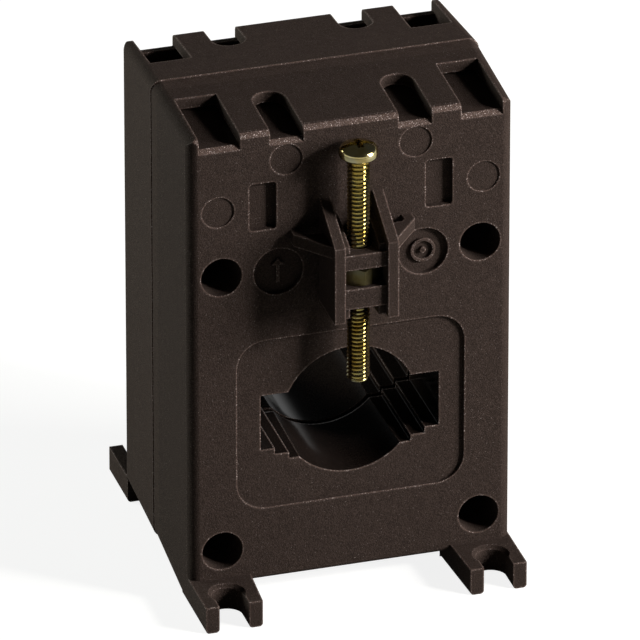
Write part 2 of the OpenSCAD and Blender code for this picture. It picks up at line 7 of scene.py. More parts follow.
import bmesh
import bpy
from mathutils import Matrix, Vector
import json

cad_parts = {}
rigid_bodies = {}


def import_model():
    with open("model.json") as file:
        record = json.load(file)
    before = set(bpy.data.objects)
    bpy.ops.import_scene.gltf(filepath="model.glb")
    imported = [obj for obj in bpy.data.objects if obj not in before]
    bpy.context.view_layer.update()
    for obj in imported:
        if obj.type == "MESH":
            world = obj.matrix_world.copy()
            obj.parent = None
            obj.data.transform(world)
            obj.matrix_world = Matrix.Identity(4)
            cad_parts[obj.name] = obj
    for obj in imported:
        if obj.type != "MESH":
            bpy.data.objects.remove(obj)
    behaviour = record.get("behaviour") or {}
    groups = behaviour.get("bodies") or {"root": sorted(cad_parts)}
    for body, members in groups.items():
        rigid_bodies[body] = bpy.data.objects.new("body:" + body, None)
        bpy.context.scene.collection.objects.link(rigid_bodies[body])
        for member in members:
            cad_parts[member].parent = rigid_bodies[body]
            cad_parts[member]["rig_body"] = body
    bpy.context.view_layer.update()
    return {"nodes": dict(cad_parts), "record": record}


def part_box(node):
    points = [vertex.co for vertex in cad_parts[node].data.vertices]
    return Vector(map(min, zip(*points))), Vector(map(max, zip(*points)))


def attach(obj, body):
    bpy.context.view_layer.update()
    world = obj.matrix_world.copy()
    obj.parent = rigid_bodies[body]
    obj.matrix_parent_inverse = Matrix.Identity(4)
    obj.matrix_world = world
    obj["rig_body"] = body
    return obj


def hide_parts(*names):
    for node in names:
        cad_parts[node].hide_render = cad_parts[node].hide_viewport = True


MM = 0.001

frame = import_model()
NODES = frame["nodes"]

# Places read from the frame
case_low, case_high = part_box("front_shell")
part_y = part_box("rear_shell")[0].y

# Sizes that the frame's boxes do not give, as in the part
FOOT_REACH = 9.5 * MM
FOOT_DROP = 3.5 * MM
BORE_Z = FOOT_DROP + 30.2 * MM
DISC_X = 12.7 * MM
DISC_Z = FOOT_DROP + 58.6 * MM
DISC_SINK = 0.9 * MM
FACE_Y = case_low.y + FOOT_REACH

# Region of the window tube: its reach from the bore's axis and from the middle of the case
WINDOW_REACH = 17.0 * MM
WINDOW_HALF = 19.6 * MM

# The slanting front of the roof lies in this much of the case's top
ROOF_HEIGHT = 9.0 * MM

# Raised signs in the two discs
MARK_R = 2.2 * MM
MARK_STROKE = 0.55 * MM
MARK_HEIGHT = 0.55 * MM
MARK_ROOT = 0.05 * MM
MARK_BEVEL = 0.06 * MM
ARROW_HEAD = 1.1 * MM

# Screws: the recess is a slot across the head with a cross in its middle, and its walls flare upwards
CLAMP_SCREW = {
    "head_height": 2.6 * MM,
    "dome_radius": 5.2 * MM,
    "thread_radius": 1.95 * MM,
    "thread_depth": 0.42 * MM,
    "pitch": 0.76 * MM,
    "chamfer": 0.35 * MM,
    "slot": {"length": 12.0 * MM, "width": 0.8 * MM, "depth": 1.2 * MM, "flare": 0.08 * MM},
    "cross": {"length": 2.6 * MM, "width": 0.55 * MM, "depth": 1.9 * MM, "flare": 0.45 * MM},
}
TERMINAL_SCREW = {
    "head_height": 2.2 * MM,
    "dome_radius": 5.0 * MM,
    "thread_radius": 1.7 * MM,
    "thread_depth": 0.34 * MM,
    "pitch": 0.6 * MM,
    "chamfer": 0.3 * MM,
    "slot": {"length": 9.0 * MM, "width": 0.8 * MM, "depth": 1.0 * MM, "flare": 0.05 * MM},
    "cross": {"length": 2.0 * MM, "width": 0.5 * MM, "depth": 1.5 * MM, "flare": 0.35 * MM},
}

# Rounded edges of every pan head: below at its flank, and above where the flank meets the dome
HEAD_LOW_EDGE = 0.5 * MM
HEAD_TOP_EDGE = 1.3 * MM

# Thread outline over one pitch: (share of the pitch, share of the depth)
THREAD_OUTLINE = [(0.0, 0.8), (0.08, 1.0), (0.16, 0.8), (0.44, 0.2), (0.52, 0.0), (0.60, 0.2)]

# The nut's chamfer leaves a round face of this share of its width across the flats
NUT_FACE_SHARE = 0.97
NUT_CHAMFER_ANGLE = 30.0
NUT_HOLE_R = 2.0 * MM
NUT_SINK = 0.35 * MM

# Fineness of round forms
THREAD_STEPS = 48
LATHE_STEPS = 64
CUTTER_STEPS = 72
RING_STEPS = 40
DOT_STEPS = 24
LOW_ARC_STEPS = 6
TOP_ARC_STEPS = 8

# Turns of thread drawn past each end before it is cut level
SPARE_TURNS = 2

# How far a cutter or a piece reaches past what it meets, and how close vertices are welded
CUT_PAST = 1.0 * MM
SEAT = 0.05 * MM
WELD = 1e-7

# Edges stay sharp where a surface turns by more than this many degrees
SCREW_SHARP = 64.0
NUT_SHARP = 25.0
MARK_SHARP = 30.0


# Camera

CAMERA_ELEVATION = 28.101
CAMERA_AZIMUTH = 16.718
CAMERA_DISTANCE = 2.2
CAMERA_RIGHT = 0.543 * MM
CAMERA_DOWN = 2.481 * MM
AIM_BEHIND_FACE = 20.0 * MM
AIM_ABOVE_FEET = 40.0 * MM
FOCAL_PX = 12969.2
IMAGE_PX = 640.0
SENSOR_MM = 36.0
CLIP_NEAR = 0.05
CLIP_FAR = 20.0


def make_camera():
    """Long lens from above and from the left of the front, as in the photograph."""
    elevation = math.radians(CAMERA_ELEVATION)
    azimuth = math.radians(CAMERA_AZIMUTH)
    level = math.cos(elevation)
    forward = Vector((math.sin(azimuth) * level, math.cos(azimuth) * level, -math.sin(elevation)))
    right = Vector((math.cos(azimuth), -math.sin(azimuth), 0.0))
    up = right.cross(forward)
    aim = Vector((0.0, FACE_Y + AIM_BEHIND_FACE, FOOT_DROP + AIM_ABOVE_FEET))
    data = bpy.data.cameras.new("camera")
    data.lens = FOCAL_PX / IMAGE_PX * SENSOR_MM
    data.sensor_width = SENSOR_MM
    data.clip_start = CLIP_NEAR
    data.clip_end = CLIP_FAR
    camera = bpy.data.objects.new("camera", data)
    bpy.context.scene.collection.objects.link(camera)
    camera.location = aim - forward * CAMERA_DISTANCE + right * CAMERA_RIGHT - up * CAMERA_DOWN
    camera.rotation_mode = "QUATERNION"
    camera.rotation_quaternion = forward.to_track_quat("-Z", "Y")
    bpy.context.scene.camera = camera


# Node helpers


class ShaderNodes:
    """Short way to build the nodes of a material or world, which is kept as owner."""

    def __init__(self, owner, output="ShaderNodeOutputMaterial"):
        self.owner = owner
        self.owner.use_nodes = True
        self.tree = owner.node_tree
        self.tree.nodes.clear()
        self.out = self.add(output)

    def add(self, kind, **settings):
        """New node with its settings."""
        node = self.tree.nodes.new(kind)
        for key, value in settings.items():
            setattr(node, key, value)
        return node

    def put(self, socket, value):
        """Links an output to the socket, or sets the socket to a plain value."""
        if isinstance(value, bpy.types.NodeSocket):
            self.tree.links.new(value, socket)
        else:
            socket.default_value = value

    def surface(self, shader):
        """Sends a shader to the output."""
        self.put(self.out.inputs["Surface"], shader)

    def math(self, operation, *values, clamp=False):
        """One math node; a clamped result is kept between 0 and 1."""
        node = self.add("ShaderNodeMath", operation=operation, use_clamp=clamp)
        for socket, value in zip(node.inputs, values):
            self.put(socket, value)
        return node.outputs[0]

    def times(self, first, *others):
        """Product of all the values."""
        for other in others:
            first = self.math("MULTIPLY", first, other)
        return first

    def between(self, share, low, high):
        """Value that goes from low to high with the share."""
        return self.math("MULTIPLY_ADD", share, high - low, low)

    def rise(self, value, start, gain):
        """Share from 0 to 1 that grows above the start, or below it where the gain is negative."""
        return self.math("MULTIPLY", self.math("SUBTRACT", value, start), gain, clamp=True)

    def ramp(self, value, stops):
        """Colour for a value; stops is a list of (value, colour)."""
        node = self.add("ShaderNodeValToRGB")
        elements = node.color_ramp.elements
        while len(elements) < len(stops):
            elements.new(0.5)
        for element, (position, colour) in zip(elements, stops):
            element.position = position
            element.color = (*colour, 1.0)
        self.put(node.inputs["Fac"], value)
        return node.outputs["Color"]

    def place(self):
        """Position on the object at rest, in metres."""
        return self.add("ShaderNodeTexCoord").outputs["Object"]

    def noise(self, scale, detail=2.0, roughness=0.5):
        """Noise in space; the scale is in waves per metre."""
        node = self.add("ShaderNodeTexNoise")
        self.put(node.inputs["Scale"], scale)
        self.put(node.inputs["Detail"], detail)
        self.put(node.inputs["Roughness"], roughness)
        self.put(node.inputs["Vector"], self.place())
        return node.outputs["Fac"]

    def split(self, vector):
        """The three coordinates of a vector."""
        node = self.add("ShaderNodeSeparateXYZ")
        self.put(node.inputs[0], vector)
        return node.outputs

    def scale(self, vector, factor):
        """Vector or colour times a factor."""
        node = self.add("ShaderNodeVectorMath", operation="SCALE")
        self.put(node.inputs[0], vector)
        self.put(node.inputs["Scale"], factor)
        return node.outputs[0]

    def blend(self, share, first, second):
        """Mixes two colours, which go into inputs 6 and 7 of the node and come out of its output 2."""
        node = self.add("ShaderNodeMix", data_type="RGBA")
        self.put(node.inputs["Factor"], share)
        self.put(node.inputs[6], first)
        self.put(node.inputs[7], second)
        return node.outputs[2]

    def openness(self, reach, inside=False):
        """1 where nothing of the object is within reach, outside the surface or inside it."""
        node = self.add("ShaderNodeAmbientOcclusion", samples=8, inside=inside, only_local=True)
        self.put(node.inputs["Distance"], reach)
        return node.outputs["AO"]

    def bump(self, height, strength, distance, normal=None):
        """Normal of a fine relief."""
        node = self.add("ShaderNodeBump")
        self.put(node.inputs["Strength"], strength)
        self.put(node.inputs["Distance"], distance)
        self.put(node.inputs["Height"], height)
        if normal is not None:
            self.put(node.inputs["Normal"], normal)
        return node.outputs[0]

    def round_edge(self, radius, samples):
        """Normal that rounds every edge for the light."""
        node = self.add("ShaderNodeBevel", samples=samples)
        self.put(node.inputs["Radius"], radius)
        return node.outputs[0]

    def shader(self, **values):
        """Principled surface, sent to the output; a name has _ where its socket has a space."""
        node = self.add("ShaderNodeBsdfPrincipled")
        for key, value in values.items():
            self.put(node.inputs[key.replace("_", " ")], value)
        self.surface(node.outputs[0])


def material_nodes(name):
    """Nodes of a new material."""
    return ShaderNodes(bpy.data.materials.new(name))


# Case plastic

GRAIN_SCALE = 4600.0
GRAIN_DEPTH = 0.15 * MM
BLOTCH_SCALE = 700.0
BLOTCH_SHARE = 0.15
SPECK_SCALE = 6500.0
PIT_SCALE = 5200.0
EDGE_RADIUS = 0.30 * MM
# Painted highlight on outer edges, the roof's slant and lone spots, where the plastic is also glossier
HIGHLIGHT_EDGE_REACH = 0.35 * MM
HIGHLIGHT_BETWEEN_SPECKS = 0.35
HIGHLIGHT_OF_SPOTS = 0.25
HIGHLIGHT_GLOSS = 0.55
REAR_LEVEL = 1.22
WINDOW_LEVEL = 0.3
SMOOTH_ROUGHNESS = 0.14
GRAIN_ROUGHNESS = 0.84
PLASTIC_SPECULAR = 0.08


def in_window(nodes, x, y, z):
    """1 on the window tube, which is smooth, and 0 on the rest of the case."""
    across = nodes.math("POWER", x, 2.0)
    upright = nodes.math("POWER", nodes.math("SUBTRACT", z, BORE_Z), 2.0)
    from_axis = nodes.math("SQRT", nodes.math("ADD", across, upright))
    near_axis = nodes.math("LESS_THAN", from_axis, WINDOW_REACH)
    behind_face = nodes.math("LESS_THAN", nodes.math("ABSOLUTE", y), WINDOW_HALF)
    return nodes.times(near_axis, behind_face)


def on_roof_slant(nodes, z):
    """1 on the slanting front of the roof, which faces up and forward."""
    facing = nodes.split(nodes.add("ShaderNodeNewGeometry").outputs["Normal"])
    slant = nodes.times(facing[2], -1.0, facing[1])
    near_top = nodes.math("GREATER_THAN", z, case_high.z - ROOF_HEIGHT)
    return nodes.times(nodes.rise(slant, start=0.2, gain=10.0), near_top)


def painted_highlight_share(nodes, z, pits, textured):
    """Share of painted highlight: in specks on outer edges and the roof's slant, and in lone spots."""
    # Painted highlight: outer edges, the roof's slant and lone spots get a lighter colour in place of lamp
    # glints
    edge = nodes.rise(nodes.openness(HIGHLIGHT_EDGE_REACH, inside=True), start=1.0, gain=-2.4)
    speck = nodes.rise(nodes.noise(SPECK_SCALE, detail=1.0), start=0.46, gain=7.0)
    highlit = nodes.math("MAXIMUM", edge, on_roof_slant(nodes, z))
    highlit = nodes.times(highlit, nodes.between(speck, HIGHLIGHT_BETWEEN_SPECKS, 1.0))
    spot = nodes.rise(pits, start=0.72, gain=14.0)
    return nodes.math("MAXIMUM", highlit, nodes.times(spot, textured, HIGHLIGHT_OF_SPOTS))


def painted_highlight_colour(nodes, pits):
    """Lighter brown of the painted highlight, with bright painted glints."""
    glint = nodes.rise(pits, start=0.61, gain=16.0)
    return nodes.ramp(glint, [(0.0, (0.135, 0.092, 0.076)), (1.0, (0.75, 0.64, 0.60))])


def moulded_colour(nodes, y, grain, textured):
    """Brown-black with a fine grain, lighter on the rear shell and darker in the smooth window."""
    blotch = nodes.times(nodes.noise(BLOTCH_SCALE), BLOTCH_SHARE)
    mixed = nodes.math("MULTIPLY_ADD", grain, 1.0 - BLOTCH_SHARE, blotch)
    colour = nodes.ramp(mixed, [
        (0.35, (0.0240, 0.0166, 0.0136)),
        (0.50, (0.0370, 0.0260, 0.0214)),
        (0.67, (0.0580, 0.0410, 0.0340)),
    ])
    rear = nodes.between(nodes.math("GREATER_THAN", y, part_y), 1.0, REAR_LEVEL)
    window = nodes.between(textured, WINDOW_LEVEL, 1.0)
    return nodes.scale(colour, nodes.times(rear, window))


def case_plastic():
    """Dark brown moulded plastic: spark-eroded outside, smooth in the window, glossier and with painted
    highlights along its edges.
    """
    nodes = material_nodes("case_plastic")
    x, y, z = nodes.split(nodes.place())
    textured = nodes.math("SUBTRACT", 1.0, in_window(nodes, x, y, z))
    grain = nodes.noise(GRAIN_SCALE, roughness=0.6)
    pits = nodes.noise(PIT_SCALE, detail=1.0)
    # Painted highlight: the lighter colour with glints stands in for the lamps' glints on edges and the
    # roof's slant
    highlit = painted_highlight_share(nodes, z, pits, textured)
    colour = nodes.blend(highlit, moulded_colour(nodes, y, grain, textured), painted_highlight_colour(nodes, pits))
    dull = nodes.between(textured, SMOOTH_ROUGHNESS, GRAIN_ROUGHNESS)
    roughness = nodes.math("SUBTRACT", dull, nodes.times(highlit, textured, HIGHLIGHT_GLOSS))
    relief = nodes.times(grain, textured)
    rounded = nodes.round_edge(EDGE_RADIUS, samples=6)
    normal = nodes.bump(relief, strength=1.0, distance=GRAIN_DEPTH, normal=rounded)
    nodes.shader(Base_Color=colour, Roughness=roughness, Normal=normal,
                 Specular_IOR_Level=PLASTIC_SPECULAR)
    return nodes.owner


# Metals

ZINC_TINT_SCALE = 420.0
ZINC_FINE_SCALE = 6000.0
ZINC_FINE_DEPTH = 0.01 * MM
ZINC_UNEVEN = 0.08
# Painted shade in grooves: how far nearby surface is sought, and the darkest share of the colour
GROOVE_SHADE_REACH = 0.5 * MM
GROOVE_SHADE_LEVEL = 0.07
METAL_SCALE = 2400.0
METAL_UNEVEN = 0.15
METAL_EDGE = 0.1 * MM


def yellow_zinc(name, painted_shade_factor, rough):
    """Yellow passivated zinc on steel, with painted shade in its grooves; a factor darkens all its colour as
    further painted shade.
    """
    nodes = material_nodes(name)
    colour = nodes.ramp(nodes.noise(ZINC_TINT_SCALE), [
        (0.32, (0.50, 0.39, 0.14)),
        (0.50, (0.64, 0.54, 0.25)),
        (0.68, (0.62, 0.58, 0.36)),
    ])
    # Painted shade: the colour darkens where the surface is hemmed in, in the thread's grooves
    open_share = nodes.rise(nodes.openness(GROOVE_SHADE_REACH), start=0.38, gain=2.8)
    # The factor darkens the whole colour as painted shade
    shade = nodes.times(nodes.between(open_share, GROOVE_SHADE_LEVEL, 1.0), painted_shade_factor)
    fine = nodes.noise(ZINC_FINE_SCALE)
    roughness = nodes.math("MULTIPLY_ADD", fine, ZINC_UNEVEN, rough)
    normal = nodes.bump(fine, strength=0.15, distance=ZINC_FINE_DEPTH)
    nodes.shader(Base_Color=nodes.scale(colour, shade), Metallic=1.0, Roughness=roughness, Normal=normal)
    return nodes.owner


def zinc_steel():
    """Bright plating of the clamp screw."""
    return yellow_zinc("zinc_steel", painted_shade_factor=1.0, rough=0.10)


def shaded_dull_zinc_steel():
    """Duller plating of the clamp nut, darkened as painted shade of the clamp walls around it."""
    return yellow_zinc("shaded_dull_zinc_steel", painted_shade_factor=0.22, rough=0.30)


def plain_metal(name, dark, light, rough):
    """Bare or plated metal with a fine uneven tone."""
    nodes = material_nodes(name)
    grain = nodes.noise(METAL_SCALE, detail=3.0)
    colour = nodes.ramp(grain, [(0.35, dark), (0.65, light)])
    roughness = nodes.math("MULTIPLY_ADD", grain, METAL_UNEVEN, rough)
    normal = nodes.round_edge(METAL_EDGE, samples=4)
    nodes.shader(Base_Color=colour, Metallic=1.0, Roughness=roughness, Normal=normal)
    return nodes.owner


def core_steel():
    """Grey electrical steel strip."""
    return plain_metal("core_steel", dark=(0.20, 0.21, 0.22), light=(0.34, 0.35, 0.37), rough=0.35)


def enamelled_wire():
    """Copper wire under clear enamel."""
    return plain_metal("enamelled_wire", dark=(0.40, 0.14, 0.04), light=(0.62, 0.27, 0.09), rough=0.22)


def terminal_brass():
    """Brass of the terminals."""
    return plain_metal("terminal_brass", dark=(0.55, 0.38, 0.12), light=(0.72, 0.54, 0.22), rough=0.2)


def terminal_steel():
    """Nickel-plated steel of the terminal screws and their plates."""
    return plain_metal("terminal_steel", dark=(0.45, 0.44, 0.40), light=(0.62, 0.61, 0.57), rough=0.22)


# Tape, card and sleeves

SOFT_RELIEF = 0.05 * MM


def soft_layer(name, dark, light, scale, rough):
    """Dull surface with a fine uneven colour."""
    nodes = material_nodes(name)
    grain = nodes.noise(scale, detail=3.0)
    colour = nodes.ramp(grain, [(0.35, dark), (0.65, light)])
    normal = nodes.bump(grain, strength=0.4, distance=SOFT_RELIEF)
    nodes.shader(Base_Color=colour, Roughness=rough, Normal=normal)
    return nodes.owner


def core_tape():
    """Cream tape on the core."""
    return soft_layer("core_tape", dark=(0.62, 0.58, 0.46), light=(0.74, 0.70, 0.58),
                      scale=1500.0, rough=0.55)


def winding_tape():
    """Yellow tape round the winding."""
    return soft_layer("winding_tape", dark=(0.62, 0.46, 0.10), light=(0.76, 0.60, 0.18),
                      scale=1200.0, rough=0.35)


def spacer_card():
    """Brown pressboard of the card rings."""
    return soft_layer("spacer_card", dark=(0.36, 0.27, 0.14), light=(0.48, 0.38, 0.22),
                      scale=2600.0, rough=0.8)


def lead_sleeve():
    """Red sleeve on each lead."""
    return soft_layer("lead_sleeve", dark=(0.30, 0.02, 0.012), light=(0.40, 0.035, 0.02),
                      scale=2000.0, rough=0.4)


def make_materials():
    """Materials by the material slots of the record, and beside them the nut's duller one with painted
    shade.
    """
    return {
        "case plastic": case_plastic(),
        "zinc steel": zinc_steel(),
        # The nut's plating, darkened as painted shade
        "dull zinc steel": shaded_dull_zinc_steel(),
        "core steel": core_steel(),
        "core tape": core_tape(),
        "enamelled wire": enamelled_wire(),
        "winding tape": winding_tape(),
        "spacer card": spacer_card(),
        "lead sleeve": lead_sleeve(),
        "terminal brass": terminal_brass(),
        "terminal steel": terminal_steel(),
    }


def paint(obj, material):
    """Gives an object this one material."""
    obj.data.materials.clear()
    obj.data.materials.append(material)


# Floor, backdrop and lamps

FLOOR_HALF = 6.0
FLOOR_COLOUR = (0.32, 0.325, 0.31, 1.0)
FLOOR_GLOW = 0.86
FLOOR_MIRRORED = 0.15
WHITE = (1.0, 1.0, 1.0, 1.0)

# The mirrored backdrop is white up to a height, and from a second height on it is the dark ceiling.
# Both heights are sines of the elevation.
BACKDROP_TOP = 0.10
CEILING_START = 0.32
CEILING_LEVEL = 0.03
ROOM_LIGHT = 0.008

# Middle of the case, at which every lamp is aimed
LAMPS_AIM = Vector((0.0, 0.0, 45.0 * MM))


def make_floor():
    """Pale floor that looks white and keeps the object's shadow."""
    nodes = material_nodes("floor")
    path = nodes.add("ShaderNodeLightPath").outputs
    mirrored = nodes.math("ADD", path["Is Glossy Ray"], path["Is Transmission Ray"])
    seen = nodes.math("MULTIPLY_ADD", mirrored, FLOOR_MIRRORED, path["Is Camera Ray"], clamp=True)
    matt = nodes.add("ShaderNodeBsdfDiffuse")
    nodes.put(matt.inputs["Color"], FLOOR_COLOUR)
    glow = nodes.add("ShaderNodeEmission")
    nodes.put(glow.inputs["Color"], WHITE)
    nodes.put(glow.inputs["Strength"], nodes.times(seen, FLOOR_GLOW))
    both = nodes.add("ShaderNodeAddShader")
    nodes.put(both.inputs[0], matt.outputs[0])
    nodes.put(both.inputs[1], glow.outputs[0])
    nodes.surface(both.outputs[0])
    side = FLOOR_HALF
    corners = [(-side, -side, 0.0), (side, -side, 0.0), (side, side, 0.0), (-side, side, 0.0)]
    mesh = bpy.data.meshes.new("floor")
    mesh.from_pydata(corners, [], [(0, 1, 2, 3)])
    floor = bpy.data.objects.new("floor", mesh)
    bpy.context.scene.collection.objects.link(floor)
    paint(floor, nodes.owner)


def make_world():
    """White to the eye, dim as a light; in reflections a white backdrop that ends under a dark ceiling."""
    nodes = ShaderNodes(bpy.data.worlds.new("world"), "ShaderNodeOutputWorld")
    path = nodes.add("ShaderNodeLightPath").outputs
    height = nodes.split(nodes.add("ShaderNodeTexCoord").outputs["Generated"])[2]
    backdrop = nodes.add("ShaderNodeMapRange", interpolation_type="SMOOTHSTEP")
    nodes.put(backdrop.inputs["Value"], height)
    nodes.put(backdrop.inputs["From Min"], BACKDROP_TOP)
    nodes.put(backdrop.inputs["From Max"], CEILING_START)
    nodes.put(backdrop.inputs["To Min"], 1.0)
    nodes.put(backdrop.inputs["To Max"], CEILING_LEVEL)
    mirrored = nodes.math("ADD", path["Is Glossy Ray"], path["Is Transmission Ray"], clamp=True)
    seen = nodes.math("MULTIPLY_ADD", mirrored, backdrop.outputs[0], path["Is Camera Ray"])
    back = nodes.add("ShaderNodeBackground")
    nodes.put(back.inputs["Strength"], nodes.math("ADD", seen, ROOM_LIGHT))
    nodes.surface(back.outputs[0])
    bpy.context.scene.world = nodes.owner


def soft_box(name, azimuth, elevation, distance, width, height, level, colour):
    """Area light aimed at the case. At a level of 1 it lights a facing surface as bright as its colour."""
    turn = math.radians(azimuth)
    tilt = math.radians(elevation)
    away = Vector((math.sin(turn) * math.cos(tilt), -math.cos(turn) * math.cos(tilt), math.sin(tilt)))
    data = bpy.data.lights.new(name, "AREA")
    data.shape = "RECTANGLE"
    data.size = width
    data.size_y = height
    data.energy = level * (math.pi * distance) ** 2
    data.color = colour
    light = bpy.data.objects.new(name, data)
    bpy.context.scene.collection.objects.link(light)
    light.location = LAMPS_AIM + away * distance
    light.rotation_mode = "QUATERNION"
    light.rotation_quaternion = away.to_track_quat("Z", "Y")


def make_lights():
    """Key lamp at the front right, a small one near it for sparks on metal, and one behind on the left."""
    soft_box("key", azimuth=58.0, elevation=19.5, distance=0.55, width=0.22, height=0.26,
             level=1.30, colour=(1.0, 0.96, 0.94))
    soft_box("spark", azimuth=50.0, elevation=28.0, distance=0.8, width=0.08, height=0.08,
             level=0.42, colour=(1.0, 0.97, 0.95))
    soft_box("side", azimuth=-131.0, elevation=5.0, distance=0.8, width=0.2, height=0.4,
             level=0.92, colour=(0.94, 1.0, 0.93))


# Mesh helpers


def circle_points(x, y, radius, steps):
    """Points on a circle, in the plane of its two coordinates."""
    points = []
    for j in range(steps):
        angle = 2.0 * math.pi * j / steps
        points.append((x + radius * math.cos(angle), y + radius * math.sin(angle)))
    return points


def arc(x, y, radius, start, end, steps):
    """Points on an arc from one angle to another, in degrees."""
    points = []
    for i in range(steps + 1):
        angle = math.radians(start + (end - start) * i / steps)
        points.append((x + radius * math.cos(angle), y + radius * math.sin(angle)))
    return points


def level_ring(bm, centre, radius, height, steps):
    """Level circle of new vertices."""
    return [bm.verts.new((x, y, height)) for x, y in circle_points(centre.x, centre.y, radius, steps)]


def bridge(bm, lower, upper):
    """Band of faces between two closed rings of as many vertices."""
    for i in range(len(lower)):
        k = (i + 1) % len(lower)
        bm.faces.new((lower[i], lower[k], upper[k], upper[i]))


def fan(bm, rim, tip):
    """Faces from a closed ring to one vertex."""
    for i in range(len(rim)):
        k = (i + 1) % len(rim)
        bm.faces.new((rim[i], rim[k], tip))


def lathe(centre, profile):
    """Closed turned form: profile is a list of (radius, height) that starts and ends on the axis."""
    bm = bmesh.new()
    foot = bm.verts.new((centre.x, centre.y, profile[0][1]))
    rings = [level_ring(bm, centre, radius, height, LATHE_STEPS) for radius, height in profile[1:-1]]
    crown = bm.verts.new((centre.x, centre.y, profile[-1][1]))
    fan(bm, rings[0][::-1], foot)
    for lower, upper in zip(rings, rings[1:]):
        bridge(bm, lower, upper)
    fan(bm, rings[-1], crown)
    return bm


def ring_cutter(centre, section):
    """Ring of the given closed section, turned about an upright axis."""
    bm = bmesh.new()
    rings = [level_ring(bm, centre, radius, height, CUTTER_STEPS) for radius, height in section]
    for i, lower in enumerate(rings):
        bridge(bm, lower, rings[(i + 1) % len(rings)])
    bmesh.ops.recalc_face_normals(bm, faces=bm.faces)
    return bm


def tapered_bar(centre, size_x, size_y, bottom, top, flare):
    """Bar whose sides slope outwards to its top: one arm of a driver recess."""
    bm = bmesh.new()
    rings = []
    for z, grow in ((bottom, 0.0), (top, flare)):
        x = size_x / 2.0 + grow
        y = size_y / 2.0 + grow
        corners = [(-x, -y), (x, -y), (x, y), (-x, y)]
        rings.append([bm.verts.new((centre.x + dx, centre.y + dy, z)) for dx, dy in corners])
    lower, upper = rings
    bm.faces.new(lower[::-1])
    bm.faces.new(upper)
    bridge(bm, lower, upper)
    return bm


def temporary(bm):
    """Object that only serves a cut."""
    obj = bpy.data.objects.new("temporary", bpy.data.meshes.new("temporary"))
    bm.to_mesh(obj.data)
    bm.free()
    bpy.context.scene.collection.objects.link(obj)
    return obj


def carve(body, cutters):
    """Cuts each of the cutters from body, and gives the result as a bmesh."""
    base = temporary(body)
    tools = [temporary(cutter) for cutter in cutters]
    for tool in tools:
        cut = base.modifiers.new("cut", "BOOLEAN")
        cut.operation = "DIFFERENCE"
        cut.solver = "EXACT"
        cut.object = tool
    graph = bpy.context.evaluated_depsgraph_get()
    result = bmesh.new()
    result.from_mesh(base.evaluated_get(graph).to_mesh())
    for obj in (base, *tools):
        bpy.data.objects.remove(obj)
    return result


def join(bm, part):
    """Moves what is in part over into bm."""
    mesh = bpy.data.meshes.new("part")
    part.to_mesh(mesh)
    part.free()
    bm.from_mesh(mesh)
    bpy.data.meshes.remove(mesh)


def link_mesh(name, bm, material):
    """New piece of the model from a bmesh."""
    mesh = bpy.data.meshes.new(name)
    bm.to_mesh(mesh)
    bm.free()
    obj = bpy.data.objects.new(name, mesh)
    bpy.context.scene.collection.objects.link(obj)
    paint(obj, material)
    return obj


def smooth(obj, angle):
    """Smooth shading with an edge kept sharp where the surface turns more than the angle."""
    for polygon in obj.data.polygons:
        polygon.use_smooth = True
    obj.data.set_sharp_from_angle(angle=math.radians(angle))


# Screws


def helix_column(bm, centre, look, turned, bottom, top):
    """Upright row of vertices along the thread's outline, at one share of a turn round the axis."""
    angle = 2.0 * math.pi * turned
    root = look["thread_radius"] - look["thread_depth"]
    lead_in = look["thread_radius"] - look["chamfer"]
    start = bottom - SPARE_TURNS * look["pitch"]
    column = []
    for turn in range(int((top - bottom) / look["pitch"]) + 2 * SPARE_TURNS):
        for pitch_share, depth_share in THREAD_OUTLINE:
            z = start + look["pitch"] * (turn + pitch_share + turned)
            radius = min(root + depth_share * look["thread_depth"], lead_in + max(0.0, z - bottom))
            x = centre.x + radius * math.cos(angle)
            y = centre.y + radius * math.sin(angle)
            column.append(bm.verts.new((x, y, z)))
    return column


def helix_skin(bm, centre, look, bottom, top):
    """Open skin of a right-hand thread; its last column meets the first one a pitch higher."""
    columns = []
    for j in range(THREAD_STEPS):
        columns.append(helix_column(bm, centre, look, j / THREAD_STEPS, bottom, top))
    for j, here in enumerate(columns):
        there = columns[(j + 1) % THREAD_STEPS]
        shift = len(THREAD_OUTLINE) if j == THREAD_STEPS - 1 else 0
        for i in range(len(here) - 1 - shift):
            bm.faces.new((here[i], there[i + shift], there[i + shift + 1], here[i + 1]))


def cut_level(bm, height, keep_above):
    """Cuts the skin at a height and drops what is below it, or above it."""
    everything = bm.verts[:] + bm.edges[:] + bm.faces[:]
    bmesh.ops.bisect_plane(bm, geom=everything, dist=WELD, plane_co=(0.0, 0.0, height),
                           plane_no=(0.0, 0.0, 1.0), clear_inner=keep_above, clear_outer=not keep_above)


def thread(centre, look, bottom, top):
    """Screw thread with flat ends and a chamfered lower end, as a closed skin."""
    bm = bmesh.new()
    helix_skin(bm, centre, look, bottom, top)
    cut_level(bm, bottom, keep_above=True)
    cut_level(bm, top, keep_above=False)
    bmesh.ops.remove_doubles(bm, verts=bm.verts, dist=WELD)
    rims = [edge for edge in bm.edges if edge.is_boundary]
    bmesh.ops.holes_fill(bm, edges=rims, sides=0)
    return bm


